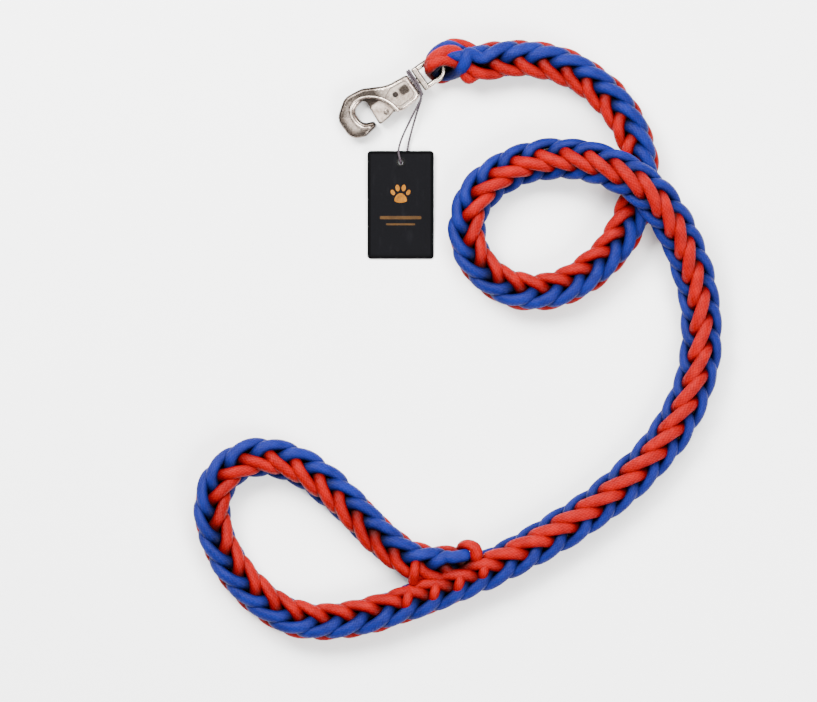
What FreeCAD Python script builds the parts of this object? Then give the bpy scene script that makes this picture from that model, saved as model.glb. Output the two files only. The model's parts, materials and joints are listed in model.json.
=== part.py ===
"""Training leash: a swivel snap clip, an eight-strand braided rope with a spliced hand loop, and a hang tag.

Millimetres, +Z up, the leash laid out on a flat surface at Z = 0. The origin lies on that surface, under the
middle of the clip. The clip is drawn in its own frame first: u along the swivel axis towards the hook, v across
it towards the gate's side, w out of its front. Then it is laid down with its hook on the surface.
"""

import FreeCAD, Part
import math
import os

Vector = FreeCAD.Vector

# How the clip lies: turned in plan, and its eye end raised by the rope.
CLIP_TURN_DEG = 215.0
CLIP_TILT_DEG = 6.0

# Hook body, a flat casting with a raised bead round its hook.
BODY_HALF = 5.2
BODY_TOP_U = 3.6
FRONT_ROUND = 2.5
BACK_ROUND = 2.0
BEAD_R = 1.5
BEAD_SUNK = 0.4
PANEL_DEEP = 0.5

# Gate, its pivot pin and its spring.
PIVOT_U = 18.3
PIVOT_V = -0.9
GATE_HALF = 2.1
SLOT_HALF = 2.3
HUB_R = 4.2
PIN_R = 1.5
PIN_FIT = 0.02
GATE_FIT = 0.05
PIN_HEAD_R = 2.0
PIN_HEAD_RISE = 0.5
STUD_U = 31.0
STUD_V = 5.4
STUD_R = 2.0
STUD_RISE = 1.6
SPRING_WIRE = 0.6
SPRING_R = 2.3
SPRING_LOW = 0.4
SPRING_PITCH = 0.72
SPRING_TURNS = 2
SPRING_LEG = 3.2

# Swivel eye, and the washer under its peened end.
STEM_R = 2.5
STEM_HEAD_R = 3.5
STEM_HEAD = (9.0, 10.8)
STEM_POCKET_R = 4.0
STEM_POCKET = (8.0, 14.4)
WASHER = (8.1, 8.9)
WASHER_R = 3.85
FOOT = (-5.2, -0.6)
FOOT_HALF_V = 9.4
FOOT_HALF_W = 3.4
FOOT_ROUND = 1.5
BOW_HALF_V = 7.5
BOW_BAR_D = 4.0
BOW_STRAIGHT = -13.7

# The rope: eight cords plaited, and the four bights by which they are middled round the eye.
ROPE_D = 27.0
EYE_CORD_D = 4.4
EYE_CENTRE_U = -20.9
BIGHT_END_U = -31.0
BIGHT_V = 2.3
BLUE_BIGHT_R = 5.0
RED_BIGHT_R = 9.4
TUCK_R = 3.3
TUCK_REACH = 6.0
TUCK_Z = 25.0

# The rope's route from the eye, round its coil, over itself, down to the hand loop and back to the splice.
LYING = ROPE_D / 2
RISING = 25.0
CROSSING = 43.5
ROUTE = [
    (40, 24, LYING), (58, 24, LYING), (93, 30, LYING), (132, 21, LYING), (165, -7, LYING), (181, -45, LYING),
    (174, -86, LYING), (152, -120, LYING), (116, -142, LYING), (78, -138, LYING), (52, -109, LYING),
    (56, -71, LYING), (90, -47, LYING), (128, -43, RISING), (162, -53, CROSSING), (190, -73, CROSSING),
    (211, -108, RISING), (223, -150, LYING), (222, -198, LYING), (201, -244, LYING), (162, -284, LYING),
    (117, -315, LYING), (68, -342, LYING), (20, -364, LYING), (-28, -379, LYING), (-72, -378, LYING),
    (-109, -350, LYING), (-131, -310, LYING), (-128, -275, LYING), (-101, -256, LYING), (-65, -264, LYING),
    (-33, -291, LYING), (-5, -322, LYING), (24, -339, LYING), (54, -335, LYING),
]
LOOP_START = 24
RED_TUCKS = [(11, -364), (31, -357), (48, -351)]

# Hang tag, tilted up by the string that passes behind it.
CARD = (48.0, 78.0, 1.0)
CARD_ROUND = 2.5
CARD_MIDDLE = (6.0, -77.0)
CARD_TILT_DEG = 2.2
HOLE_DOWN = 8.0
EYELET_BORE_R = 2.0
EYELET_BARREL_R = 2.5
EYELET_FLANGE_R = 3.3
EYELET_FLANGE = 0.25
STRING_D = 1.4
STRING_OFF_CARD = 1.9
TURN_U = (0.6, 2.4)
TURN_V = 9.8
TURN_W = 3.3
UNDER_W = -5.2
STRING_FRONT = [(3.4, -35.5, 5.8), (16.8, -8.5, 11.5)]
STRING_BACK = [(18.6, -7.5, 6.4), (10.4, -36, 1.3)]
KNOT = (8.0, -50.0, 1.1)
KNOT_R = 1.05


def flat(points, w=0.0):
    """Points of a plan outline as vectors, at height w of the clip's own frame."""
    return [Vector(u, v, w) for u, v in points]


def polygon(points):
    """Edges of a closed polygon."""
    corners = flat(points)
    return [Part.LineSegment(a, b).toShape() for a, b in zip(corners, corners[1:] + corners[:1])]


def rounded(corners):
    """Edges of a closed outline: (u, v, radius) corners, each rounded with a tangent arc."""
    bends = []
    for k, (u, v, radius) in enumerate(corners):
        corner = Vector(u, v, 0)
        before = (Vector(*corners[k - 1][:2], 0) - corner).normalize()
        after = (Vector(*corners[(k + 1) % len(corners)][:2], 0) - corner).normalize()
        half = before.getAngle(after) / 2
        middle = (before + after).normalize()
        reach = radius / math.tan(half)
        centre = corner + middle * (radius / math.sin(half))
        bends.append((corner + before * reach, centre - middle * radius, corner + after * reach))
    edges = []
    for bend, following in zip(bends, bends[1:] + bends[:1]):
        edges.append(Part.Arc(*bend).toShape())
        edges.append(Part.LineSegment(bend[2], following[0]).toShape())
    return edges


def slab(edges, low, high):
    """The closed outline as a solid from w = low to w = high."""
    face = Part.Face(Part.Wire(edges))
    face.translate(Vector(0, 0, low))
    return face.extrude(Vector(0, 0, high - low))


def post(u, v, low, high, radius):
    """A round solid standing on the clip's plan, from w = low to w = high."""
    return Part.makeCylinder(radius, high - low, Vector(u, v, low), Vector(0, 0, 1))


def shaft(span, radius):
    """A round solid on the swivel axis, over a span of u."""
    return Part.makeCylinder(radius, span[1] - span[0], Vector(span[0], 0, 0), Vector(1, 0, 0))


def path(points):
    """A wire of straight runs joined by tangent arcs, and the arcs' radii."""
    bends = []
    radii = []
    for before, corner, after in zip(points, points[1:], points[2:]):
        back = before - corner
        ahead = after - corner
        half = back.getAngle(ahead) / 2
        reach = 0.45 * min(back.Length, ahead.Length)
        radius = reach * math.tan(half)
        back.normalize()
        ahead.normalize()
        middle = (back + ahead).normalize()
        centre = corner + middle * (radius / math.sin(half))
        bends.append((corner + back * reach, centre - middle * radius, corner + ahead * reach))
        radii.append(radius)
    edges = []
    start = points[0]
    for bend in bends:
        edges.append(Part.LineSegment(start, bend[0]).toShape())
        edges.append(Part.Arc(*bend).toShape())
        start = bend[2]
    edges.append(Part.LineSegment(start, points[-1]).toShape())
    return Part.Wire(edges), radii


def sweep(wire, radius):
    """A round solid along the wire."""
    start = wire.Edges[0]
    ring = Part.makeCircle(radius, start.valueAt(start.FirstParameter), start.tangentAt(start.FirstParameter))
    return wire.makePipeShell([Part.Wire([ring])], True, False)


def bead():
    """The raised bead along the front cheek's edge and round the hook to its nose."""
    route = [(23.4, 9.0), (24.6, 3), (27, -2.8), (31.2, -7.9), (36, -11.6), (40.5, -13.4), (45.5, -13.7),
             (50.5, -11.6), (53.5, -6.5), (53.7, 0.5), (51.4, 5.3), (47.2, 7.6)]
    points = flat(route, BODY_HALF - BEAD_SUNK)
    tube = sweep(path(points)[0], BEAD_R)
    return tube.fuse([Part.makeSphere(BEAD_R, points[0]), Part.makeSphere(BEAD_R, points[-1])])


def hook_body():
    outline = [(BODY_TOP_U, -8.1, 2), (20, -9.9, 25), (36, -18.6, 16), (50, -20.4, 11), (63.4, -10.5, 10),
               (63, 7.5, 9), (53, 11.4, 6), (42, 9.6, 1.9), (42.6, 5.6, 1.6), (50.2, 2.6, 6), (50.2, -8.8, 5.5),
               (39, -11.6, 2.8), (38.6, 8.6, 1.2), (27, 8.2, 8), (20.5, 11.7, 9), (7, 11, 9), (BODY_TOP_U, 8.4, 1.6)]
    gate_slot = [(13.6, -5.6), (13.6, 3.9), (17.5, 4.6), (24.2, 7.7), (25.5, 9), (25.5, 14), (41.4, 14),
                 (41.4, -6), (39.5, -10), (36.5, -14.6), (33, -14.6), (27, -11.2), (20, -7.4)]
    window = [(25, 14), (24.9, 7.9), (26.3, 3), (28.4, -1.9), (32.2, -6.6), (36.2, -9.8), (39.2, -10.6),
              (41.4, -6), (41.4, 14)]
    panel = [(6.6, -5.2, 2), (19, -6.6, 6), (26, -3.2, 1.5), (22.6, 4.5, 3), (20.6, 8, 3), (8, 7.6, 4), (6.6, 5.4, 1)]
    body = slab(rounded(outline), -BODY_HALF, BODY_HALF)
    body = body.makeFillet(FRONT_ROUND, [e for e in body.Edges if e.BoundBox.ZMin > BODY_HALF - 0.01])
    body = body.makeFillet(BACK_ROUND, [e for e in body.Edges if e.BoundBox.ZMax < 0.01 - BODY_HALF])
    body = body.fuse(bead())
    return body.cut([
        slab(rounded(panel), BODY_HALF - PANEL_DEEP, 2 * BODY_HALF),
        slab(polygon(gate_slot), -SLOT_HALF, SLOT_HALF),
        slab(polygon(window), SLOT_HALF - 0.1, 2 * BODY_HALF),
        shaft((0, STEM_POCKET[0] + 1), STEM_R + GATE_FIT),
        shaft(STEM_POCKET, STEM_POCKET_R),
        post(PIVOT_U, PIVOT_V, -2 * BODY_HALF, 2 * BODY_HALF, PIN_R + PIN_FIT),
    ])


def gate():
    """The sprung gate: a hub on the pivot pin, a wedge that closes the mouth, and a stud for the thumb."""
    outline = [(14.1, -5.1, 4.15), (14.1, 3.3, 4.1), (24.3, 7.2, 8), (31, 9.6, 12), (40.2, 10.3, 1.5),
               (39.2, -5, 1.2), (33, -4.7, 12), (22, -5.1, 10)]
    wedge = slab(rounded(outline), -GATE_HALF, GATE_HALF)
    stud = post(STUD_U, STUD_V, 0, GATE_HALF + STUD_RISE, STUD_R)
    stud = stud.makeFillet(0.8, [e for e in stud.Edges if e.BoundBox.ZMin > GATE_HALF])
    wedge = wedge.fuse(stud)
    return wedge.cut([
        post(PIVOT_U, PIVOT_V, -BODY_HALF, BODY_HALF, PIN_R + GATE_FIT),
        post(PIVOT_U, PIVOT_V, 0, BODY_HALF, HUB_R + 0.2),
    ])


def gate_pin():
    """The rivet that the gate turns on, headed on the front."""
    seat = BODY_HALF - PANEL_DEEP
    head = post(PIVOT_U, PIVOT_V, seat, seat + PIN_HEAD_RISE, PIN_HEAD_R)
    head = head.makeFillet(0.3, [e for e in head.Edges if e.BoundBox.ZMin > seat + 0.1])
    return post(PIVOT_U, PIVOT_V, -BODY_HALF, seat, PIN_R).fuse(head)


def gate_spring():
    """The torsion spring of square wire round the pin, one leg on the casting's wall and one on the gate."""
    half = SPRING_WIRE / 2
    height = SPRING_PITCH * SPRING_TURNS
    coil = Part.makeHelix(SPRING_PITCH, height, SPRING_R)
    section = [Vector(SPRING_R + x, 0, z) for x, z in ((-half, -half), (half, -half), (half, half), (-half, half))]
    spring = coil.makePipeShell([Part.makePolygon(section + section[:1])], True, True)
    for z, turn in ((0, -1), (height, 1)):
        leg = Part.makeBox(SPRING_WIRE, SPRING_LEG, SPRING_WIRE, Vector(SPRING_R - half, 0, z - half))
        spring = spring.fuse(leg if turn > 0 else leg.translated(Vector(0, -SPRING_LEG, 0)))
    spring.translate(Vector(PIVOT_U, PIVOT_V, SPRING_LOW))
    return spring


def swivel_eye():
    """The eye that the rope is middled through: a bow on a foot, with a stem peened inside the casting."""
    foot = Part.makeBox(FOOT[1] - FOOT[0], 2 * FOOT_HALF_V, 2 * FOOT_HALF_W,
                        Vector(FOOT[0], -FOOT_HALF_V, -FOOT_HALF_W))
    foot = foot.makeFillet(FOOT_ROUND, foot.Edges)
    root = (FOOT[0] + FOOT[1]) / 2
    ends = flat([(root, -BOW_HALF_V), (BOW_STRAIGHT, -BOW_HALF_V), (BOW_STRAIGHT - BOW_HALF_V, 0),
                 (BOW_STRAIGHT, BOW_HALF_V), (root, BOW_HALF_V)])
    bow = Part.Wire([
        Part.LineSegment(ends[0], ends[1]).toShape(),
        Part.Arc(*ends[1:4]).toShape(),
        Part.LineSegment(ends[3], ends[4]).toShape(),
    ])
    return foot.fuse([sweep(bow, BOW_BAR_D / 2), shaft((root, STEM_HEAD[1]), STEM_R), shaft(STEM_HEAD, STEM_HEAD_R)])


def swivel_washer():
    return shaft(WASHER, WASHER_R).cut(shaft(WASHER, STEM_R + GATE_FIT))


def bights(radius):
    """Two cords that pass side by side through the eye and round its end bar, in the clip's own frame."""
    cords = []
    for v in (-BIGHT_V, BIGHT_V):
        top = [Vector(u, v, radius) for u in (BIGHT_END_U, EYE_CENTRE_U)]
        below = [Vector(u, v, -radius) for u in (EYE_CENTRE_U, BIGHT_END_U)]
        inside = Vector(EYE_CENTRE_U + radius, v, 0)
        cords.append(sweep(Part.Wire([
            Part.LineSegment(*top).toShape(),
            Part.Arc(top[1], inside, below[0]).toShape(),
            Part.LineSegment(*below).toShape(),
        ]), EYE_CORD_D / 2))
    return Part.makeCompound(cords)


def laid(pieces):
    """Lay the clip's pieces down, the middle of its underside over the origin, and return where its frame went."""
    turn = FreeCAD.Rotation(Vector(0, 0, 1), CLIP_TURN_DEG) * FreeCAD.Rotation(Vector(0, 1, 0), CLIP_TILT_DEG)
    for shape in pieces.values():
        shape.Placement = FreeCAD.Placement(Vector(), turn) * shape.Placement
    box = Part.makeCompound(list(pieces.values())).optimalBoundingBox()
    offset = Vector(-box.Center.x, -box.Center.y, -box.ZMin)
    for shape in pieces.values():
        shape.translate(offset)
    return FreeCAD.Placement(offset, turn)


def tube(name, points, diameter):
    """A cord's tube along its route, with its length, its tightest radius and its volume printed."""
    wire, radii = path(points)
    solid = sweep(wire, diameter / 2)
    section = math.pi * diameter ** 2 / 4
    print("%s: length %.1f, radii %s, volume over section x length %.4f"
          % (name, wire.Length, [round(r, 1) for r in radii], solid.Volume / (section * wire.Length)))
    return solid


def rope():
    """The rope as two tubes that meet face to face, the loop's end being let into the rope at the splice."""
    route = [Vector(*point) for point in ROUTE]
    meeting = (route[LOOP_START - 1] + route[LOOP_START]) / 2
    lead = tube("lead_rope", route[:LOOP_START] + [meeting], ROPE_D)
    loop = tube("hand_loop", [meeting] + route[LOOP_START:], ROPE_D)
    return lead, loop.cut(lead)


def capsule(start, end, radius):
    """A round-ended length of cord."""
    rod = Part.makeCylinder(radius, (end - start).Length, start, end - start)
    return rod.fuse([Part.makeSphere(radius, start), Part.makeSphere(radius, end)])


def red_tucks():
    """The red cords' tucks through the rope at the splice, each across the rope."""
    across = Vector(ROUTE[LOOP_START - 1][1] - ROUTE[LOOP_START - 2][1],
                    ROUTE[LOOP_START - 2][0] - ROUTE[LOOP_START - 1][0], 0).normalize() * TUCK_REACH
    return Part.makeCompound([capsule(Vector(x, y, TUCK_Z) - across, Vector(x, y, TUCK_Z) + across, TUCK_R)
                              for x, y in RED_TUCKS])


def tag_place():
    """The card's placement: its lower edge on the surface, its upper edge raised."""
    tilt = FreeCAD.Rotation(Vector(1, 0, 0), CARD_TILT_DEG)
    low_edge = Vector(CARD_MIDDLE[0], CARD_MIDDLE[1] - CARD[1] / 2, 0)
    return FreeCAD.Placement(low_edge, tilt)


def tag_pieces():
    """The card and its eyelet, drawn flat from the middle of the card's lower edge and then tilted."""
    half = CARD[0] / 2
    outline = [(-half, 0, CARD_ROUND), (half, 0, CARD_ROUND), (half, CARD[1], CARD_ROUND), (-half, CARD[1], CARD_ROUND)]
    hole = CARD[1] - HOLE_DOWN
    card = slab(rounded(outline), 0, CARD[2]).cut(post(0, hole, 0, CARD[2], EYELET_BARREL_R))
    eyelet = post(0, hole, 0, CARD[2], EYELET_BARREL_R).fuse([
        post(0, hole, -EYELET_FLANGE, 0, EYELET_FLANGE_R),
        post(0, hole, CARD[2], CARD[2] + EYELET_FLANGE, EYELET_FLANGE_R),
    ]).cut(post(0, hole, -CARD[2], 2 * CARD[2], EYELET_BORE_R))
    card.Placement = tag_place()
    eyelet.Placement = tag_place()
    return card, eyelet


def tag_string(clip_place):
    """The string: through the eyelet, over the card, twice round the swivel's neck and back behind the card."""
    start, end = TURN_U
    neck = [(start, TURN_V, TURN_W), (start, -TURN_V, TURN_W), (start, -TURN_V, -TURN_W),
            (end, TURN_V, -TURN_W), (end, TURN_V, TURN_W), (end, -TURN_V, TURN_W),
            (end, -TURN_V, UNDER_W), (end, TURN_V, UNDER_W)]
    neck = [clip_place.multVec(Vector(*point)) for point in neck]
    hole = tag_place().multVec(Vector(0, CARD[1] - HOLE_DOWN, CARD[2] / 2))
    normal = tag_place().Rotation.multVec(Vector(0, 0, STRING_OFF_CARD))
    knot = Vector(*KNOT)
    apart = Vector(KNOT_R, 0, 0)
    front = [knot - apart, hole - normal, hole + normal] + [Vector(*point) for point in STRING_FRONT]
    back = [Vector(*point) for point in STRING_BACK] + [knot + apart]
    string = tube("tag_string", front + neck + back, STRING_D)
    return string.fuse(capsule(knot - apart / 2, knot + apart / 2, KNOT_R))


def main():
    os.makedirs("parts", exist_ok=True)
    pieces = {
        "hook_body": hook_body(),
        "gate": gate(),
        "gate_pin": gate_pin(),
        "gate_spring": gate_spring(),
        "swivel_eye": swivel_eye(),
        "swivel_washer": swivel_washer(),
    }
    clip_place = laid(pieces)
    for name, radius in (("blue_bights", BLUE_BIGHT_R), ("red_bights", RED_BIGHT_R)):
        pieces[name] = bights(radius)
        pieces[name].Placement = clip_place
    pieces["lead_rope"], pieces["hand_loop"] = rope()
    pieces["red_tucks"] = red_tucks()
    pieces["tag_card"], pieces["tag_eyelet"] = tag_pieces()
    pieces["tag_string"] = tag_string(clip_place)
    print("clip frame", clip_place)
    for name, shape in pieces.items():
        print(name, shape.isValid(), len(shape.Solids), round(shape.Volume, 1))
        shape.exportStep("parts/%s.step" % name)


main()
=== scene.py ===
"""Training leash: the looks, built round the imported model.

Metres, +Z up. The plaited rope with its splice, the tag's string and knot, the print on the card and the
floor are made here. The clip, the swivel eye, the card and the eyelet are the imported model's own pieces, with
materials.
"""

import json
import math

import bpy
import numpy as np
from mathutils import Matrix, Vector


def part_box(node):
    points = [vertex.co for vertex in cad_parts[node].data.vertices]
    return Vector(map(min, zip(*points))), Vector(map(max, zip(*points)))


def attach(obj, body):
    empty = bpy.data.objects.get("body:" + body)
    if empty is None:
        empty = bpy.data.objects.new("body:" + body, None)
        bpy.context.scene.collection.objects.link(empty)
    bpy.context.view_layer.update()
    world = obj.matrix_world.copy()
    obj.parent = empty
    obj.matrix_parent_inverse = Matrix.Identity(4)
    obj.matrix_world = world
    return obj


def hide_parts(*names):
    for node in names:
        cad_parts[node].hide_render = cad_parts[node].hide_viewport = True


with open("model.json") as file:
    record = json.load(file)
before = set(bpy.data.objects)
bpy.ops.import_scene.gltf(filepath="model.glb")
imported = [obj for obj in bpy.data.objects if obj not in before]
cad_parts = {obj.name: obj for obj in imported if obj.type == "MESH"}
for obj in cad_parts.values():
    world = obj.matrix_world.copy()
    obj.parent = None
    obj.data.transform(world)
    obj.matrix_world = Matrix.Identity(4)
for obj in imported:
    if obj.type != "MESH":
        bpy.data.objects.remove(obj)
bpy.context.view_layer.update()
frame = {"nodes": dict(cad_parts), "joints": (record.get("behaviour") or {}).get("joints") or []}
nodes = frame["nodes"]

# The rope's route from the eye, round its coil, over itself, down to the hand loop and back to the splice.
# Its middle lies at three heights.
LYING = 0.0135
RISING = 0.023
CROSSING = 0.0395
ROUTE = [
    (0.040, 0.024, LYING), (0.058, 0.024, LYING), (0.093, 0.030, LYING), (0.132, 0.021, LYING),
    (0.165, -0.007, LYING), (0.181, -0.045, LYING), (0.174, -0.086, LYING), (0.152, -0.120, LYING),
    (0.116, -0.142, LYING), (0.078, -0.138, LYING), (0.052, -0.109, LYING), (0.056, -0.071, LYING),
    (0.090, -0.047, LYING), (0.128, -0.043, RISING), (0.162, -0.053, CROSSING), (0.190, -0.073, CROSSING),
    (0.211, -0.108, RISING), (0.223, -0.150, LYING), (0.222, -0.198, LYING), (0.201, -0.244, LYING),
    (0.162, -0.284, LYING), (0.117, -0.315, LYING), (0.068, -0.341, LYING), (0.020, -0.3615, LYING),
    (-0.028, -0.377, LYING), (-0.072, -0.378, LYING), (-0.109, -0.350, LYING), (-0.131, -0.310, LYING),
    (-0.128, -0.275, LYING), (-0.101, -0.256, LYING), (-0.065, -0.264, LYING), (-0.033, -0.291, LYING),
    (-0.005, -0.322, LYING), (0.024, -0.339, LYING), (0.054, -0.335, LYING),
]
# How far the plait has turned about its own line at each point of the route, in degrees. At 0 a groove is on
# top, with the blue cords to the left of it and the red to the right. At 45 a red corner is on top.
TURNED = [-10, -10, -10, -10, -10, -10, -8, -8, -8, -5, 5, 20, 34, 38, 40, 40, 40, 40, 38, 34,
          30, 24, 10, -4, -10, -10, -8, 0, 8, 15, 18, 8, -3, -8, -8]
# The length of one stitch of the plait at each point of the route.
STITCH = ([0.018] * 13 + [0.0185] * 3 + [0.0195, 0.020, 0.020, 0.0205, 0.021, 0.0205, 0.019, 0.0185]
          + [0.019] * 11)
STITCHES_PER_TURN = 4

# The plait. A cord's distance from the middle of the rope is a mean and two waves, and two more waves make it
# linger at the rope's corners.
ORBIT = (0.0069, 0.0040, 0.00037)
LINGER = (0.42, -0.07)
CORD_HALF_WIDE = 0.0045
CORD_HALF_DEEP = 0.0038
# The plait's unevenness: how far a cord sways round the rope, in radians, and how far it strays out from it,
# each over a length of the rope.
SWAY = 0.05
SWAY_OVER = 0.031
STRAY = 0.00025
STRAY_OVER = 0.023
# Where the plait turns from a corner to a flat side, its half height falls off as a cosine to this power, and
# the rope sinks to the floor.
SINKING = 0.7
# The lowest that a cord's middle lies, and how gently it comes down to that.
CORD_RESTS = 0.0043
SETTLING = 0.0005
# The drawn cords: the step along them, how finely a curve is read, and the sides of a cord and of a ply.
STEP = 0.0012
CURVE_STEPS = 24
BEND_STEPS = 12
SIDES = 20
PLY_SIDES = 10
# How much of a tube's rounded end is drawn, so that its last ring isn't a point.
POINTED = 0.97

# The clip's own frame, from the swivel's joint: u along its axis to the hook, v across, w out of its front.
swivel = next(joint for joint in frame["joints"] if joint["name"] == "clip_swivel")
CLIP_ORIGIN = np.array(swivel["pos_m"])
CLIP_U = np.array(swivel["axis"])
CLIP_V = np.cross((0, 0, 1), CLIP_U)
CLIP_V = CLIP_V / np.linalg.norm(CLIP_V)
CLIP_W = np.cross(CLIP_U, CLIP_V)
UP = np.array((0, 0, 1.0))


def clip_point(u, v, w):
    """A point of the clip's own frame, given in millimetres."""
    return CLIP_ORIGIN + (u * CLIP_U + v * CLIP_V + w * CLIP_W) / 1000


def smooth(points, steps=CURVE_STEPS):
    """The line of the NURBS spline with these control points, as an array."""
    data = bpy.data.curves.new("line", "CURVE")
    data.dimensions = "3D"
    data.resolution_u = steps
    spline = data.splines.new("NURBS")
    spline.points.add(len(points) - 1)
    for control, point in zip(spline.points, points):
        control.co = (*point, 1.0)
    spline.order_u = 3
    spline.use_endpoint_u = True
    curve = bpy.data.objects.new("line", data)
    bpy.context.scene.collection.objects.link(curve)
    bpy.context.view_layer.update()
    depsgraph = bpy.context.evaluated_depsgraph_get()
    line = bpy.data.meshes.new_from_object(curve.evaluated_get(depsgraph))
    found = np.array([v.co[:] for v in line.vertices])
    bpy.data.objects.remove(curve)
    bpy.data.curves.remove(data)
    bpy.data.meshes.remove(line)
    return found


def unit(vectors):
    """The vectors at length 1."""
    return vectors / np.linalg.norm(vectors, axis=-1, keepdims=True)


def travelled(line):
    """How far along the line each of its points is."""
    return np.concatenate([[0], np.cumsum(np.linalg.norm(np.diff(line, axis=0), axis=1))])


def evenly(line, step, *others):
    """The line read at even steps, and the other arrays read at the same places."""
    along = travelled(line)
    places = np.linspace(0, along[-1], int(along[-1] / step) + 1)
    read = [np.stack([np.interp(places, along, column) for column in np.atleast_2d(array.T)], axis=1)
            for array in (line, *others)]
    return (places, *read)


def ease(values, start, end):
    """0 up to start, 1 from end, and a smooth step between."""
    t = np.clip((values - start) / (end - start), 0, 1)
    return t * t * (3 - 2 * t)


turned_line = smooth([(angle, stitch, 0) for angle, stitch in zip(TURNED, STITCH)])[:, :2]
along, rope_line, twist = evenly(smooth(ROUTE), STEP, turned_line)
turned = np.radians(twist[:, 0])
turns = np.concatenate([[0], np.cumsum(np.diff(along) / (STITCHES_PER_TURN * twist[1:, 1]))])
heading = unit(np.gradient(rope_line, axis=0))
right = unit(np.cross(heading, (0, 0, 1)))
up = np.cross(right, heading)
rope_length = along[-1]


def end_at(name, place):
    """Where a cord of the plait is at each step of the rope, and the way out from the rope's middle there."""
    phase = 2 * math.pi * turns + place * math.pi / 2
    if name == "red":
        phase = -(phase + math.pi / 4)
    swing = phase - LINGER[0] * np.sin(2 * phase) - LINGER[1] * np.sin(4 * phase)
    swing = swing + SWAY * np.sin(along / SWAY_OVER + 2 * place)
    radius = ORBIT[0] + ORBIT[1] * np.cos(2 * swing) + ORBIT[2] * np.cos(4 * swing)
    radius = radius + STRAY * np.sin(along / STRAY_OVER + 3 * place)
    corner = math.pi / 4 if name == "blue" else -math.pi / 4
    angle = math.pi / 2 + turned + corner + swing
    half_high = ORBIT[0] + ORBIT[1] + CORD_HALF_DEEP
    sunk = np.minimum(half_high * np.cos(math.pi / 4 - np.abs(turned)) ** SINKING - LYING, 0)
    out = right * np.cos(angle)[:, None] + up * np.sin(angle)[:, None]
    line = rope_line + out * radius[:, None]
    line[:, 2] += sunk
    return settled(line), out


def settled(line):
    """The line, kept up off the floor by half a cord."""
    line = line.copy()
    line[:, 2] = CORD_RESTS + np.logaddexp(0, (line[:, 2] - CORD_RESTS) / SETTLING) * SETTLING
    return line


def tube(name, line, across, wide, deep, sides=SIDES, shade=None):
    """A closed mesh tube of oval section along the line, with rounded ends.

    across is roughly the way out from the rope. deep is the half thickness along it, and wide is the one
    square to it. The UV map runs round the tube from 0 to 1, and along it in metres. With a shade, a point
    attribute holds the painted shade between the cords: 1 deep in the rope and 0 on its outside.
    """
    forward = unit(np.gradient(line, axis=0))
    outward = unit(across - forward * np.sum(across * forward, axis=1, keepdims=True))
    side = np.cross(forward, outward)
    far = travelled(line)
    half = np.mean(wide)
    from_end = np.minimum(far, far[-1] - far)
    blunt = np.sqrt(1 - np.clip(1 - from_end / half, 0, POINTED) ** 2)
    wide = np.broadcast_to(wide, len(line)) * blunt
    deep = np.broadcast_to(deep, len(line)) * blunt
    angles = np.arange(sides) * 2 * math.pi / sides
    rings = (line[:, None] + outward[:, None] * (np.cos(angles)[None, :, None] * deep[:, None, None])
             + side[:, None] * (np.sin(angles)[None, :, None] * wide[:, None, None]))
    points = np.concatenate([rings.reshape(-1, 3), line[:1], line[-1:]])
    count = len(line)
    ring, k = np.meshgrid(np.arange(count - 1), np.arange(sides), indexing="ij")
    after = (k + 1) % sides
    walls = np.stack([ring * sides + k, ring * sides + after,
                      (ring + 1) * sides + after, (ring + 1) * sides + k], -1)
    last = (count - 1) * sides
    round_ends = [(count * sides, (k + 1) % sides, k) for k in range(sides)]
    round_ends += [(count * sides + 1, last + k, last + (k + 1) % sides) for k in range(sides)]
    mesh = bpy.data.meshes.new(name)
    mesh.from_pydata(points.tolist(), [], walls.reshape(-1, 4).tolist() + round_ends)
    mesh.update()
    mesh.polygons.foreach_set("use_smooth", np.ones(len(mesh.polygons), bool))
    u = np.stack([k, k + 1, k + 1, k], -1) / sides
    v = np.stack([far[ring], far[ring], far[ring + 1], far[ring + 1]], -1)
    flat = np.stack([u, v], -1).reshape(-1, 2)
    end_corners = 3 * len(round_ends)
    flat = np.concatenate([flat, np.zeros((end_corners, 2))])
    mesh.uv_layers.new(name="UVMap").data.foreach_set("uv", flat.astype(np.float32).ravel())
    if shade is not None:
        buried = mesh.attributes.new("buried", "FLOAT", "POINT")
        buried.data.foreach_set("value", shade(points).astype(np.float32))
    piece = bpy.data.objects.new(name, mesh)
    bpy.context.scene.collection.objects.link(piece)
    return piece


# Where a noise texture's values mostly lie.
NOISE_LOW = 0.3
NOISE_HIGH = 0.7


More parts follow.
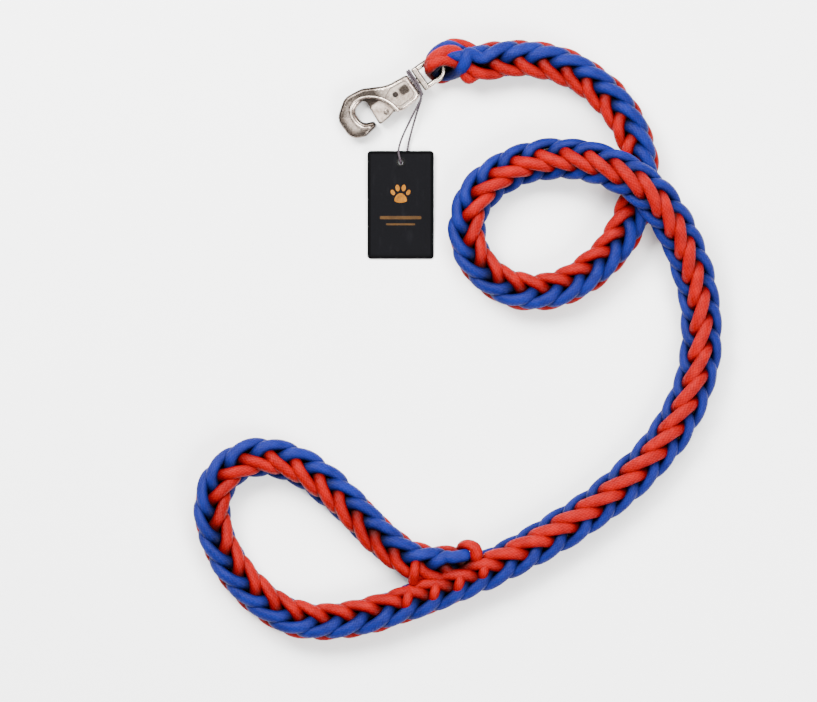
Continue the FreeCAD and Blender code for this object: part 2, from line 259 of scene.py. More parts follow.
class Material:
    """A material with short calls for the few nodes that these finishes need."""

    def __init__(self, name, **constants):
        self.made = bpy.data.materials.new(name)
        self.made.use_nodes = True
        self.tree = self.made.node_tree
        self.shader = self.tree.nodes["Principled BSDF"]
        for socket, value in constants.items():
            self.shader.inputs[socket.replace("_", " ")].default_value = value

    def node(self, kind, inputs=(), **settings):
        """A new node with these settings, and with values or links given to its inputs."""
        node = self.tree.nodes.new("ShaderNode" + kind)
        for name, value in settings.items():
            setattr(node, name, value)
        for socket, value in dict(inputs).items():
            self.give(node.inputs[socket], value)
        return node

    def give(self, socket, value):
        """Link the value to the socket if it's another node's output, or else set it."""
        if isinstance(value, bpy.types.NodeSocket):
            self.tree.links.new(value, socket)
        else:
            socket.default_value = value

    def math(self, operation, *values):
        """The operation on values or outputs."""
        return self.node("Math", dict(enumerate(values)), operation=operation).outputs[0]

    def wave(self, value):
        """0 where the value is whole, and up to 1 between."""
        return self.math("ABSOLUTE", self.math("SINE", self.math("MULTIPLY", value, math.pi)))

    def own_place(self):
        """The place on the piece, in its own coordinates."""
        return self.node("TexCoord").outputs["Object"]

    def own_xyz(self):
        """The place on the piece as X, Y and Z."""
        return self.node("SeparateXYZ", {0: self.own_place()}).outputs

    def on_tube(self):
        """X round a tube, from 0 to 1, and Y along it."""
        return self.node("SeparateXYZ", {0: self.node("UVMap", uv_map="UVMap").outputs[0]}).outputs

    def dot(self, vector, direction):
        """How far the vector goes along the direction."""
        inputs = {0: vector, 1: direction.tolist()}
        return self.node("VectorMath", inputs, operation="DOT_PRODUCT").outputs["Value"]

    def noise(self, size, detail=3.0, stretch=(1, 1, 1)):
        """Noise with features of this size, in metres, on the piece's own coordinates."""
        where = self.node("Mapping", {"Vector": self.own_place(), "Scale": stretch}).outputs[0]
        return self.node("TexNoise", {"Vector": where, "Scale": 1 / size, "Detail": detail}).outputs["Fac"]

    def spread(self, value, low, high, start=0.0, end=1.0):
        """The value, from start to end, carried to the range low to high."""
        inputs = {"Value": value, "From Min": start, "From Max": end, "To Min": low, "To Max": high}
        return self.node("MapRange", inputs).outputs["Result"]

    def vary(self, noise, low, high):
        """Noise carried to the range low to high."""
        return self.spread(noise, low, high, NOISE_LOW, NOISE_HIGH)

    def mix(self, share, a, b):
        """Colour a where the share is 0 and b where it is 1. Each is an output, or red, green and blue."""
        node = self.node("Mix", data_type="RGBA")
        self.give(node.inputs[0], share)
        for socket, colour in ((node.inputs[6], a), (node.inputs[7], b)):
            self.give(socket, (*colour, 1) if isinstance(colour, tuple) else colour)
        return node.outputs[2]

    def bump(self, height, distance):
        """The normal of a surface with this height, which stands out by this distance at 1."""
        return self.node("Bump", {"Height": height, "Distance": distance, "Strength": 1.0}).outputs[0]

    def finish(self, **sockets):
        """The material, with these sockets of its shader given."""
        for name, value in sockets.items():
            self.give(self.shader.inputs[name.replace("_", " ")], value)
        return self.made


def darker(colour, share):
    """This share of the colour."""
    return tuple(share * c for c in colour)


# A cord's sheath: how many yarns run round it each way, the length of cord in which one passes another, how
# far they stand out, the size of its fibres and blotches, and the painted shade deep in the rope between the
# cords: what is left of its dark colour there, and the share of that there.
YARNS = 12.0
YARN_LONG = 0.0030
YARN_HIGH = 0.00018
FIBRE = 0.0004
BLOTCH = 0.009
DEEP_SHADE = 0.10
DEEP_SHARE = 0.96


def cord_sheath(name, dark, light):
    """A plaited sheath: yarns run round the cord both ways and pass over and under each other."""
    sheath = Material(name, Specular_IOR_Level=0.07)
    where = sheath.on_tube()
    around = sheath.math("MULTIPLY", where["X"], YARNS)
    ahead = sheath.math("DIVIDE", where["Y"], YARN_LONG)
    one_way = sheath.math("ADD", around, ahead)
    other_way = sheath.math("SUBTRACT", around, ahead)
    rounds = [sheath.wave(way) for way in (one_way, other_way)]
    cell = sheath.math("ADD", sheath.math("FLOOR", one_way), sheath.math("FLOOR", other_way))
    on_top = sheath.math("PINGPONG", cell, 1.0)
    yarn = sheath.node("Mix", {0: on_top, 2: rounds[0], 3: rounds[1]}, data_type="FLOAT").outputs[0]
    weave = sheath.math("MULTIPLY", yarn, sheath.spread(sheath.math("MULTIPLY", *rounds), 0.75, 1.0))
    fibres = sheath.noise(FIBRE, 4.0)
    blotch = sheath.noise(BLOTCH)
    buried = sheath.node("Attribute", attribute_name="buried").outputs["Fac"]
    tone = sheath.math("ADD", sheath.spread(weave, 0.25, 0.75), sheath.vary(fibres, -0.25, 0.25))
    tone = sheath.math("ADD", tone, sheath.vary(blotch, -0.22, 0.22))
    colour = sheath.mix(tone, dark, light)
    # Painted shade deep in the rope between the cords: the colour turns towards a small share of its dark
    # colour.
    colour = sheath.mix(sheath.spread(buried, 0.0, DEEP_SHARE), colour, darker(dark, DEEP_SHADE))
    height = sheath.math("ADD", weave, sheath.math("MULTIPLY", fibres, 0.35))
    return sheath.finish(Base_Color=colour, Roughness=sheath.spread(weave, 0.62, 0.45),
                         Normal=sheath.bump(height, YARN_HIGH))


# The metal: the size of its stains and scratches, the depth of its pits, how much of its worn colour is left
# under its painted shade and grime, the most of them there is, and how far they reach in hollows and from
# edges.
STAIN = 0.006
SCRATCH = 0.0006
SCRATCHES_ALONG = (1.0, 9.0, 1.0)
PITS = 0.00004
SHADE_AND_GRIME = 0.07
SHADE_AND_GRIME_SHARE = 0.95
IN_HOLLOWS = 0.0035
ON_EDGES = 0.0022
ON_HOOK_EDGES = 0.0075
# The hook gets a broad painted shade along its edges from this far along the clip, but none from this far
# out of the clip's front, which leaves its bead bright. The clip's and the eye's walls that look this way get
# painted shade.
HOOK_SHADE_FROM = float(CLIP_ORIGIN @ CLIP_U) + 0.020
HOOK_SHADE_OVER = 0.010
UNSHADED_FROM = float(CLIP_ORIGIN @ CLIP_W) + 0.0053
UNSHADED_OVER = 0.0005
SHADED_WAY = -CLIP_V
WALL_SHADE_SHARE = 0.92


def metal(name, tone, worn, roughness, grain=0.0012, shaded_walls=False, shaded_hook=False):
    """Plated or plain metal with stains, fine scratches, a cast or drawn skin, painted shade along its edges,
    and painted shade with some grime in its hollows.
    """
    plate = Material(name, Metallic=1.0)
    stains = plate.noise(STAIN, 5.0)
    skin = plate.noise(grain, 3.0)
    scratches = plate.noise(SCRATCH, 2.0, SCRATCHES_ALONG)
    where = plate.own_place()
    ragged = plate.vary(stains, -0.12, 0.12)

    def shade_mask(distance, start, end, inside):
        """Where shade is painted: up to 1 in hollows, or beside edges when looked at from the inside."""
        light = plate.node("AmbientOcclusion", {"Distance": distance}, samples=8, inside=inside).outputs["AO"]
        return plate.spread(plate.math("ADD", light, ragged), SHADE_AND_GRIME_SHARE, 0.0, start, end)

    def beyond(direction, start, over):
        """0 before a place along this direction and 1 past it."""
        return plate.spread(plate.dot(where, direction), 0.0, 1.0, start, start + over)

    # Painted shade along the edges, where the rounded walls turn away.
    edge = shade_mask(ON_EDGES, 0.60, 0.90, True)
    # For the hook: a broad painted shade along its edges, for its side wall in shade, left off the bead.
    if shaded_hook:
        hook_edge_shade = shade_mask(ON_HOOK_EDGES, 0.74, 1.02, True)
        hook_edge_shade = plate.math("MULTIPLY", hook_edge_shade, beyond(CLIP_U, HOOK_SHADE_FROM, HOOK_SHADE_OVER))
        shaded_below = plate.spread(beyond(CLIP_W, UNSHADED_FROM, UNSHADED_OVER), 1.0, 0.0)
        edge = plate.math("MULTIPLY", plate.math("MAXIMUM", edge, hook_edge_shade), shaded_below)
    colour = plate.mix(plate.spread(stains, 0.0, 1.0, 0.42, 0.75), tone, worn)
    # Painted shade along the edges and in hollows, where it goes with some grime: a small share of the worn
    # colour.
    shade_and_grime = darker(worn, SHADE_AND_GRIME)
    colour = plate.mix(plate.math("MAXIMUM", shade_mask(IN_HOLLOWS, 0.35, 0.9, False), edge), colour, shade_and_grime)
    # Painted shade on the walls that face one side of the clip.
    if shaded_walls:
        facing = plate.math("ADD", plate.dot(plate.node("TexCoord").outputs["Normal"], SHADED_WAY), ragged)
        colour = plate.mix(plate.spread(facing, 0.0, WALL_SHADE_SHARE, 0.12, 0.28), colour, shade_and_grime)
    rough = plate.math("ADD", plate.vary(skin, roughness, roughness + 0.14),
                       plate.spread(scratches, 0.0, 0.12, 0.5, 0.75))
    height = plate.math("ADD", skin, plate.math("MULTIPLY", scratches, 0.4))
    return plate.finish(Base_Color=colour, Roughness=rough, Normal=plate.bump(height, PITS))


# The card's board: its colours, where its border ends and its panel begins, how wide its worn edge is, the
# size of its fibres and scuffs, and how high they stand.
BORDER = (0.0005, 0.0005, 0.0007)
PANEL_DARK = (0.0010, 0.0010, 0.0015)
PANEL_LIGHT = (0.0020, 0.0020, 0.0027)
SCUFFED = (0.006, 0.006, 0.0075)
BARE_EDGE = (0.02, 0.019, 0.018)
BORDER_WIDE = (0.0021, 0.0024)
EDGE_WIDE = 0.00035
BOARD_FIBRE = 0.0005
SCUFF = 0.004
SCUFFS_ALONG = (1.0, 0.25, 1.0)
BOARD_HIGH = 0.00005


def board():
    """Coated black card, with a blacker border pressed round it and paler wear along its edges."""
    card = Material("tag_board", Specular_IOR_Level=0.04)
    low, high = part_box("tag_card")
    middle = (low + high) / 2
    half = (high - low) / 2
    where = card.own_xyz()
    from_middle = [card.math("ABSOLUTE", card.math("SUBTRACT", where[axis], middle[axis])) for axis in (0, 1)]
    from_edges = [card.math("SUBTRACT", half[axis], from_middle[axis]) for axis in (0, 1)]
    from_edge = card.math("MINIMUM", *from_edges)
    fibres = card.noise(BOARD_FIBRE, 5.0)
    scuffs = card.noise(SCUFF, 4.0, SCUFFS_ALONG)
    ragged = card.math("ADD", from_edge, card.spread(fibres, -0.0001, 0.0001))
    panel = card.mix(card.vary(fibres, 0.2, 0.8), PANEL_DARK, PANEL_LIGHT)
    panel = card.mix(card.spread(scuffs, 0.0, 0.35, 0.58, 0.75), panel, SCUFFED)
    colour = card.mix(card.spread(ragged, 0.0, 1.0, *BORDER_WIDE), BORDER, panel)
    colour = card.mix(card.spread(ragged, 0.55, 0.0, 0.0, EDGE_WIDE), colour, BARE_EDGE)
    rough = card.spread(ragged, 0.32, 0.55, *BORDER_WIDE)
    height = card.math("ADD", fibres, scuffs)
    return card.finish(Base_Color=colour, Roughness=rough, Normal=card.bump(height, BOARD_HIGH))


# The foil: its colours, where along the card the bars end and the paw begins, the size of its rubs and of its
# tint, and how high the rubs stand.
GOLD_DARK = (0.135, 0.046, 0.0015)
GOLD_LIGHT = (0.25, 0.093, 0.003)
GOLD_DIM = (0.020, 0.011, 0.004)
GOLD_RUBBED = (0.05, 0.025, 0.006)
PAW_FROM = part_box("tag_card")[0].y + 0.038
PAW_OVER = 0.003
RUB = 0.0012
TINT = 0.006
RUBS_HIGH = 0.00003


def foil():
    """Gold foil, rubbed in places and duller on the bars than on the paw."""
    gold = Material("gold_foil", Metallic=0.2, Specular_IOR_Level=0.15)
    rubs = gold.noise(RUB, 5.0)
    tint = gold.noise(TINT, 2.0)
    bright = gold.mix(gold.spread(tint, 0.0, 1.0, 0.35, 0.65), GOLD_DARK, GOLD_LIGHT)
    on_bars = gold.spread(gold.own_xyz()["Y"], 0.90, 0.0, PAW_FROM - PAW_OVER, PAW_FROM)
    bright = gold.mix(on_bars, bright, GOLD_DIM)
    colour = gold.mix(gold.spread(rubs, 0.0, 0.8, 0.58, 0.68), bright, GOLD_RUBBED)
    return gold.finish(Base_Color=colour, Roughness=gold.vary(rubs, 0.25, 0.6),
                       Normal=gold.bump(rubs, RUBS_HIGH))


# The string's yarn: its colours, how many fibres wind round a ply, the length of ply from one to the next,
# how high they stand and the size of its fluff.
STRING_DARK = (0.030, 0.023, 0.028)
STRING_LIGHT = (0.065, 0.052, 0.061)
STRING_FIBRES = 3.0
STRING_WOUND = 0.0011
STRING_HIGH = 0.00004
FLUFF = 0.0003


def waxed_string():
    """Dark waxed yarn: fine fibres wound round each ply."""
    yarn = Material("string", Specular_IOR_Level=0.15)
    where = yarn.on_tube()
    wound = yarn.wave(yarn.math("ADD", yarn.math("MULTIPLY", where["X"], STRING_FIBRES),
                                yarn.math("DIVIDE", where["Y"], STRING_WOUND)))
    fluff = yarn.noise(FLUFF, 3.0)
    tone = yarn.math("ADD", yarn.spread(wound, 0.3, 0.6), yarn.vary(fluff, -0.3, 0.3))
    colour = yarn.mix(tone, STRING_DARK, STRING_LIGHT)
    return yarn.finish(Base_Color=colour, Roughness=yarn.spread(wound, 0.65, 0.45),
                       Normal=yarn.bump(wound, STRING_HIGH))


# The floor's paint: its two whites and the size of its mottle.
FLOOR_DULL = (0.93, 0.93, 0.93)
FLOOR_BRIGHT = (0.96, 0.96, 0.96)
MOTTLE = 0.05


def floor_paint():
    """Matt, nearly white paint."""
    paint = Material("floor", Specular_IOR_Level=0.2)
    mottle = paint.noise(MOTTLE, 3.0)
    colour = paint.mix(mottle, FLOOR_DULL, FLOOR_BRIGHT)
    return paint.finish(Base_Color=colour, Roughness=paint.spread(mottle, 0.75, 0.85))


# Each middled cord: the plait's place of its one end and how far along the rope it joins the plait, the way
# over the eye's bar and in, then the same for its other end and the way back under the bar. The points are in
# the clip's own frame, in millimetres.
BIGHTS = {
    "red_cord_1": ((3, 0.018), [(-32.5, 11.0, 3.2), (-30.0, 4.0, 6.8), (-25.0, -1.8, 9.6),
                                (-18.1, -3.8, 9.6), (-12.4, -2.4, 6.8), (-9.8, -0.8, 0)],
                   (0, 0.018), [(-11.3, 3.6, -5.2), (-14.5, 8.6, -6.4), (-21.0, 9.6, -6.8),
                                (-30, 7.0, -6.5)]),
    "red_cord_2": ((2, 0.016), [(-36.5, -0.5, 6.8), (-31.5, -4.8, 7.8), (-25.5, -6.6, 8.8),
                                (-19.0, -6.4, 8.0), (-13.5, -5.2, 5.0), (-11.4, -4.0, 0)],
                   (1, 0.020), [(-13.5, -4.8, -5.6), (-20.0, -5.2, -6.6), (-27, -6.6, -6.4),
                                (-34, -9.8, -4.4)]),
    "blue_cord_1": ((3, 0.018), [(-36.9, 4.6, 8.4), (-32.6, -0.8, 8.2), (-28.2, -5.0, 6.4),
                                 (-21.5, -3.4, 5.4), (-15.5, -0.2, 4.2), (-13.2, 1.4, 0)],
                    (2, 0.028), [(-15.0, 5.6, -4.6), (-19.5, 9.6, -4.2), (-26.0, 11.8, 0.5),
                                 (-33.0, 11.6, 8.2), (-38.0, 8.4, 11.2), (-43.0, 3.6, 10.6)]),
    "blue_cord_2": ((0, 0.020), [(-35.0, -7.6, 1.0), (-29.0, -9.4, 2.2), (-22.5, -9.4, 2.6),
                                 (-16.6, -7.0, 4.0), (-13.2, -4.6, 0)],
                    (1, 0.020), [(-16.0, -2.0, -5.0), (-23.0, 1.0, -6.0), (-30.0, 4.0, -7.2)]),
}
# How a cord leaves the plait: straight on, by this share of its last few steps, or its first few at the eye.
STRAIGHT_ON = 0.8
LAST_STEPS = 4
FIRST_STEPS = 5
# The way out from the rope's middle turns round a core, which runs from inside the eye along the rope's first
# steps. At each join it holds to the plait's own way out, this strongly and over this share of the bight.
IN_EYE = (-18, 0, 0)
CORE_STEPS = 60
CORE_IN_EYE = 20
HOLD = 3
HOLD_OVER = 0.2
# The squeeze in the eye: about which point, to what share, and from how far to how far away it eases.
EYE_MIDDLE = (-13, -1, 0)
IN_EYE_SHARE = 0.72
SQUEEZED_TO = 0.003
SQUEEZED_FROM = 0.009
# The painted shade between the cords: what is this near to the rope's middle is painted dark, and what is this
# far is not. The core is read more coarsely for that, and the points a batch at a time.
DARK_INSIDE = 0.0080
LIGHT_OUTSIDE = 0.0146
SHADE_CORE_IN_EYE = 12
SHADE_CORE_EVERY = 4
SHADE_BATCH = 4000

# The splice: how far before the rope's end some cords leave the plait, and where they go. The others dive a
# little there.
ENDINGS = {
    ("blue", 3): (0.018, [(0.0415, -0.3310, 0.0238), (0.0482, -0.3300, 0.0234), (0.0564, -0.3285, 0.0213)]),
    ("red", 0): (0.006, [(0.0508, -0.3228, 0.0130), (0.0548, -0.3212, 0.0200), (0.0602, -0.3240, 0.0238),
                         (0.0604, -0.3305, 0.0228), (0.0588, -0.3385, 0.0140)]),
    ("blue", 2): (0.016, [(0.0440, -0.3400, 0.0140), (0.0530, -0.3400, 0.0120)]),
    ("red", 1): (0.009, [(0.0500, -0.3340, 0.0165), (0.0560, -0.3370, 0.0150)]),
}
DIVE = (0.002, -0.004, -0.006)
DIVE_LONG = 0.022
TUCK_HALF = 0.0036
TUCK_STEP = 0.0006
TUCKS = [
    [(0.0140, -0.3520, 0.0150), (0.0125, -0.3560, 0.0225), (0.0100, -0.3640, 0.0248),
     (0.0085, -0.3690, 0.0165)],
    [(0.0335, -0.3460, 0.0150), (0.0320, -0.3505, 0.0225), (0.0297, -0.3585, 0.0248),
     (0.0283, -0.3635, 0.0165)],
    [(0.0515, -0.3400, 0.0150), (0.0500, -0.3440, 0.0225), (0.0472, -0.3520, 0.0248),
     (0.0458, -0.3568, 0.0165)],
    [(0.0690, -0.3330, 0.0150), (0.0672, -0.3370, 0.0225), (0.0650, -0.3430, 0.0245),
     (0.0638, -0.3475, 0.0165)],
    [(0.0175, -0.3300, 0.0150), (0.0170, -0.3345, 0.0235), (0.0155, -0.3440, 0.0250),
     (0.0148, -0.3500, 0.0165)],
]

# The string: from its knot behind the card through the eyelet, over the card, round the swivel's neck and
# back. The turns are in the clip's own frame, in millimetres.
STRING_STEP = 0.0003
STRING_CURVE_STEPS = 32
KNOT = (0.0080, -0.0500, 0.0011)
KNOT_APART = (0.00105, 0, 0)
THROUGH_HOLE = (0, -0.00007, 0.0019)
STRING_FRONT = [(0.0034, -0.0355, 0.0058), (0.0168, -0.0085, 0.0115)]
TURNS_ROUND_NECK = [(0.6, 9.8, 3.3), (0.6, -9.8, 3.3), (0.6, -9.8, -3.3), (2.4, 9.8, -3.3), (2.4, 9.8, 3.3),
                    (2.4, -9.8, 3.3), (2.4, -9.8, -5.2), (2.4, 9.8, -5.2)]
STRING_BACK = [(0.0186, -0.0075, 0.0064), (0.0104, -0.036, 0.0013)]
# Its two plies: their radius, how far they stand from its middle, the length of a turn, and the way that the
# first one's side is worked out from. Its knot is a trefoil.
PLY_R = 0.00052
PLY_OFF = 0.00034
PLY_TURN = 0.0036
PLY_SIDE_FROM = (0.1, 0.2, 1.0)
KNOT_POINTS = 90
KNOT_WIDE = 0.00042
KNOT_HIGH = 0.00028

# The print, in the card's own plane: each patch's middle from the card's lower edge at PRINT_X, its half
# width and half height, its turn, how square it is (2 is an oval) and how much it narrows towards its top.
# The first five patches are the paw and the last two are the bars.
CARD_THICK = 0.001
PRINT_HALF_THICK = 0.00008
PRINT_X = 0.006
PATCH_POINTS = 40
PRINT = [
    (0, 0.0440, 0.0042, 0.0034, 0, 2.4, 0.35),
    (-0.0056, 0.0480, 0.0014, 0.0021, 0.5, 2, 0),
    (-0.0022, 0.0512, 0.0015, 0.0024, 0.15, 2, 0),
    (0.0022, 0.0512, 0.0015, 0.0024, -0.15, 2, 0),
    (0.0056, 0.0480, 0.0014, 0.0021, -0.5, 2, 0),
    (0, 0.0298, 0.0150, 0.0012, 0, 9, 0),
    (0, 0.0250, 0.0105, 0.0007, 0, 9, 0),
]

# The stage: the floor's size, each light's place, size and power, and the sky's colour and how it fades.
FLOOR_SIZE = 6
LIGHTS = {
    "key": ((-0.9, 0.9, 1.6), 0.9, 150),
    "fill": ((1.1, -1.0, 1.5), 1.0, 75),
    "back": ((0.3, 1.3, 1.9), 1.3, 110),
}
SKY = (1.0, 0.985, 0.96, 1)
SKY_FADE = {"From Min": 0.55, "From Max": 0.95, "To Min": 0.03, "To Max": 1.5}

# The camera: its lens and sensor in millimetres, how wide a strip it sees and the middle of that, and how far
# it sees.
LENS = 200
SENSOR = 36
SEEN_WIDTH = 0.588
LOOKS_AT = (0.0117, -0.1826)
SEES_AS_FAR = 20


def camera():
    """Straight down over the leash through a long lens."""
    lens = bpy.data.cameras.new("camera")
    lens.lens = LENS
    lens.sensor_width = SENSOR
    lens.clip_end = SEES_AS_FAR
    eye = bpy.data.objects.new("camera", lens)
    eye.location = (*LOOKS_AT, LYING + SEEN_WIDTH * LENS / SENSOR)
    bpy.context.scene.collection.objects.link(eye)
    bpy.context.scene.camera = eye


def straight_on(here, before):
    """A point that carries a line on past here, away from the point before it."""
    return here + (here - before) * STRAIGHT_ON


def core(samples, rope_steps):
    """The rope's middle from inside the eye: some samples up to the rope's start, then these steps of it."""
    return np.concatenate([np.linspace(clip_point(*IN_EYE), rope_line[0], samples), rope_line[rope_steps]])


def placed(colour, place, join):
    """An end of a cord, from where it joins the plait to the splice, and the way out from the rope there."""
    plait, out = end_at(colour, place)
    line = plait + np.array(DIVE) * ease(along, rope_length - DIVE_LONG, rope_length)[:, None]
    started = along > join
    if (colour, place) in ENDINGS:
        back, points = ENDINGS[colour, place]
        last = int(np.argmin(np.abs(along - (rope_length - back))))
        ahead = straight_on(plait[last], plait[last - LAST_STEPS])
        _, ending = evenly(smooth([plait[last], ahead, *points], BEND_STEPS), STEP)
        line = np.concatenate([plait[:last], ending])
        share = np.linspace(0, 1, len(ending))[:, None]
        turning = unit(out[last] * (1 - share) + UP * share)
        out = np.concatenate([out[:last], turning])
        started = np.concatenate([started[:last], np.ones(len(ending), bool)])
    return settled(line[started]), out[started]


def middled(colour, first, over, second, under):
    """One cord from the splice back to the eye, round its bar and along the rope again."""
    (back, back_out), (on, on_out) = placed(colour, *first), placed(colour, *second)
    lead_in = [straight_on(end[0], end[FIRST_STEPS]) for end in (back, on)]
    points = [back[0], lead_in[0], *(clip_point(*p) for p in over + under), lead_in[1], on[0]]
    _, bend = evenly(smooth(points, BEND_STEPS), STEP)
    middle = core(CORE_IN_EYE, slice(CORE_STEPS))
    nearest = np.argmin(np.linalg.norm(bend[:, None] - middle[None], axis=2), axis=1)
    out = unit(bend - middle[nearest])
    share = np.linspace(0, 1, len(out))[:, None]
    from_back = HOLD * back_out[0] * (1 - ease(share, 0, HOLD_OVER))
    to_on = HOLD * on_out[0] * ease(share, 1 - HOLD_OVER, 1)
    out = unit(out + from_back + to_on)
    line = np.concatenate([back[:0:-1], settled(bend), on[1:]])
    return line, np.concatenate([back_out[:0:-1], out, on_out[1:]])


def tapering(line, whole):
    """A cord's half thickness along the line: squeezed where it passes through the eye."""
    from_eye = np.linalg.norm(line - clip_point(*EYE_MIDDLE), axis=1)
    return whole * (IN_EYE_SHARE + (1 - IN_EYE_SHARE) * ease(from_eye, SQUEEZED_TO, SQUEEZED_FROM))


def buried(points):
    """The painted shade at the points, by how deep in the rope they are: 0 on its outside to 1 between its
    cords.
    """
    middle = core(SHADE_CORE_IN_EYE, slice(None, None, SHADE_CORE_EVERY))
    deep = np.empty(len(points))
    for start in range(0, len(points), SHADE_BATCH):
        some = points[start:start + SHADE_BATCH]
        deep[start:start + SHADE_BATCH] = np.min(np.linalg.norm(some[:, None] - middle[None], axis=2), axis=1)
    return 1 - ease(deep, DARK_INSIDE, LIGHT_OUTSIDE)


# The cords' colours, dark and light.
CORD_COLOURS = {
    "blue": ((0.0014, 0.0028, 0.045), (0.0065, 0.0125, 0.150)),
    "red": ((0.09, 0.0, 0.0), (0.29, 0.0, 0.0)),
}


def rope():
    """The four middled cords of the rope and the tucks of its splice."""
    finish = {colour: cord_sheath(f"{colour}_cord", *tones) for colour, tones in CORD_COLOURS.items()}
    pieces = []
    for name, (first, over, second, under) in BIGHTS.items():
        colour = name.split("_")[0]
        line, out = middled(colour, first, over, second, under)
        wide = tapering(line, CORD_HALF_WIDE)
        deep = tapering(line, CORD_HALF_DEEP)
        pieces.append((tube(name, line, out, wide, deep, shade=buried), colour))
    for number, points in enumerate(TUCKS, 1):
        _, line = evenly(smooth(points), TUCK_STEP)
        pieces.append((tube(f"red_tuck_{number}", line, UP, TUCK_HALF, TUCK_HALF, shade=buried), "red"))
    for cord, colour in pieces:
        cord.data.materials.append(finish[colour])
        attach(cord, "rope")
    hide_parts("lead_rope", "hand_loop", "blue_bights")
    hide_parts("red_bights")
    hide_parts("red_tucks")


def string():
    """The tag's string, two plies twisted together, and its knot."""
    finish = waxed_string()
    low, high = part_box("tag_eyelet")
    hole = np.array((low + high) / 2)
    through = np.array(THROUGH_HOLE)
    apart = np.array(KNOT_APART)
    points = [KNOT - apart, hole - through, hole + through, *STRING_FRONT,
              *(clip_point(*p) for p in TURNS_ROUND_NECK), *STRING_BACK, KNOT + apart]
    far, line = evenly(smooth(points, STRING_CURVE_STEPS), STRING_STEP)
    forward = unit(np.gradient(line, axis=0))
    side = unit(np.cross(forward, PLY_SIDE_FROM))
    other = np.cross(forward, side)
    made = []
    for number in (1, 2):
        angle = 2 * math.pi * far / PLY_TURN + number * math.pi
        out = side * np.cos(angle)[:, None] + other * np.sin(angle)[:, None]
        made.append(tube(f"tag_string_ply_{number}", line + out * PLY_OFF, out, PLY_R, PLY_R, PLY_SIDES))
    t = np.linspace(0, 2 * math.pi, KNOT_POINTS)
    loop = np.stack([(np.sin(t) + 2 * np.sin(2 * t)) * KNOT_WIDE, (np.cos(t) - 2 * np.cos(2 * t)) * KNOT_WIDE,
                     -np.sin(3 * t) * KNOT_HIGH], axis=1) + KNOT
    made.append(tube("tag_string_knot", loop, UP, PLY_R, PLY_R, PLY_SIDES))
    for piece in made:
        piece.data.materials.append(finish)
        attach(piece, "rope")
    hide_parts("tag_string")


def patch(x, y, half_wide, half_tall, turn, squareness, pinch):
    """A rounded patch's outline in the card's plane."""
    t = np.linspace(0, 2 * math.pi, PATCH_POINTS, endpoint=False)
    c, s = np.cos(t), np.sin(t)
    across = np.sign(c) * np.abs(c) ** (2 / squareness) * half_wide
    along_card = np.sign(s) * np.abs(s) ** (2 / squareness) * half_tall
    across = across * (1 - pinch * along_card / half_tall)
    return np.stack([x + across * math.cos(turn) - along_card * math.sin(turn),
                     y + across * math.sin(turn) + along_card * math.cos(turn)], 1)


def card_print():
    """A plain paw and two bars in foil on the card's face."""
    low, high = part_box("tag_card")
    tilt = math.atan2(high.z - low.z - CARD_THICK, high.y - low.y)
    c, s = math.cos(tilt), math.sin(tilt)
    vertices, faces = [], []
    for shape in PRINT:
        outline = patch(*shape)
        start = len(vertices)
        count = len(outline)
        for height in (CARD_THICK - PRINT_HALF_THICK, CARD_THICK + PRINT_HALF_THICK):
            for x, y in outline:
                vertices.append((PRINT_X + x, low.y + y * c - height * s, low.z + y * s + height * c))
        faces.append([start + k for k in reversed(range(count))])
        faces.append([start + count + k for k in range(count)])
        faces += [(start + k, start + (k + 1) % count, start + count + (k + 1) % count, start + count + k)
                  for k in range(count)]
    mesh = bpy.data.meshes.new("tag_print")
    mesh.from_pydata(vertices, [], faces)
    piece = bpy.data.objects.new("tag_print", mesh)
    bpy.context.scene.collection.objects.link(piece)
    piece.data.materials.append(foil())
    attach(piece, "tag")


# The metals: each one's colour, its worn colour and how rough it is.
NICKEL = ((0.84, 0.71, 0.61), (0.36, 0.27, 0.22), 0.18)
GATE_NICKEL = ((0.82, 0.69, 0.60), (0.36, 0.27, 0.22), 0.22)
EYE_NICKEL = ((0.84, 0.73, 0.63), (0.36, 0.28, 0.23), 0.16)
PIN_STEEL = ((0.32, 0.27, 0.24), (0.14, 0.11, 0.10), 0.30)
SPRING_STEEL = ((0.50, 0.50, 0.52), (0.25, 0.24, 0.24), 0.28)
WASHER_STEEL = ((0.60, 0.60, 0.60), (0.30, 0.28, 0.26), 0.3)
EYELET_METAL = ((0.10, 0.10, 0.10), (0.05, 0.048, 0.046), 0.42)


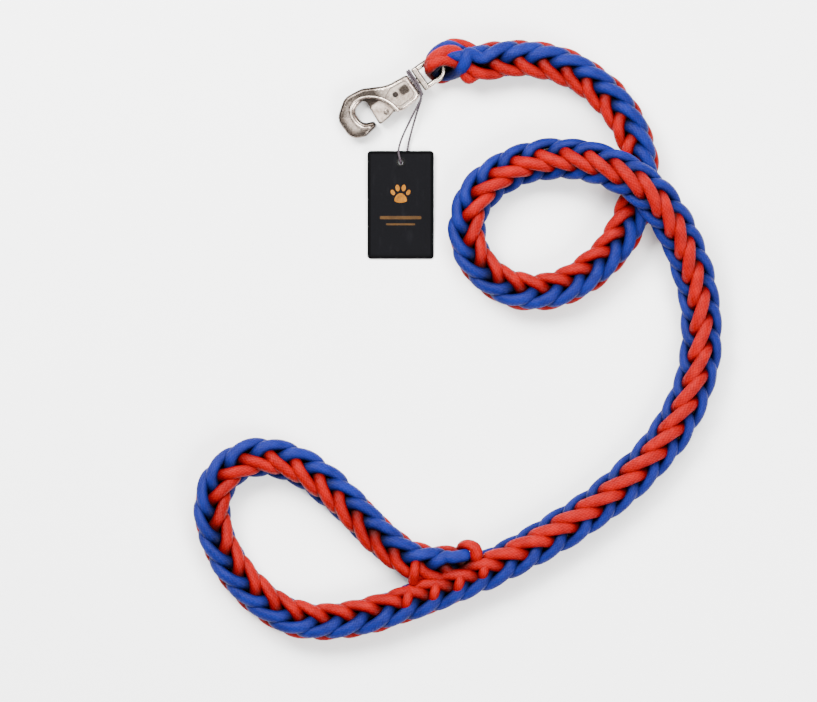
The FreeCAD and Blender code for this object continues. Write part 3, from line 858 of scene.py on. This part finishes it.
def finishes():
    """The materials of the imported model's own pieces."""
    made = {
        "hook_body": metal("clip_metal", *NICKEL, shaded_walls=True, shaded_hook=True),
        "gate": metal("gate_metal", *GATE_NICKEL, grain=0.0016),
        "gate_pin": metal("pin_steel", *PIN_STEEL, grain=0.0008),
        "gate_spring": metal("spring_steel", *SPRING_STEEL, grain=0.0005),
        "swivel_eye": metal("eye_metal", *EYE_NICKEL, shaded_walls=True),
        "swivel_washer": metal("washer_steel", *WASHER_STEEL),
        "tag_card": board(),
        "tag_eyelet": metal("eyelet_metal", *EYELET_METAL, grain=0.0006),
    }
    for name, finish in made.items():
        materials = nodes[name].data.materials
        if len(materials) == 0:
            materials.append(finish)
        for slot in range(len(materials)):
            materials[slot] = finish


def lamps():
    """The lights, all turned to the leash."""
    for name, (place, size, power) in LIGHTS.items():
        light = bpy.data.lights.new(name, "AREA")
        light.size = size
        light.energy = power
        lamp = bpy.data.objects.new(name, light)
        lamp.location = place
        lamp.rotation_euler = (-Vector(place)).to_track_quat("-Z", "Y").to_euler()
        bpy.context.scene.collection.objects.link(lamp)


def sky():
    """A pale sky, darker near the horizon for the metal to reflect."""
    world = bpy.data.worlds.new("world")
    world.use_nodes = True
    tree = world.node_tree
    background = tree.nodes["Background"]
    where = tree.nodes.new("ShaderNodeTexCoord").outputs["Generated"]
    height = tree.nodes.new("ShaderNodeSeparateXYZ")
    tree.links.new(where, height.inputs[0])
    fade = tree.nodes.new("ShaderNodeMapRange")
    tree.links.new(height.outputs["Z"], fade.inputs["Value"])
    for socket, value in SKY_FADE.items():
        fade.inputs[socket].default_value = value
    tree.links.new(fade.outputs["Result"], background.inputs["Strength"])
    background.inputs["Color"].default_value = SKY
    bpy.context.scene.world = world


def stage():
    """A pale floor in soft light."""
    bpy.ops.mesh.primitive_plane_add(size=FLOOR_SIZE)
    floor = bpy.context.object
    floor.name = "floor"
    floor.data.materials.append(floor_paint())
    lamps()
    sky()


camera()
rope()
string()
card_print()
finishes()
stage()
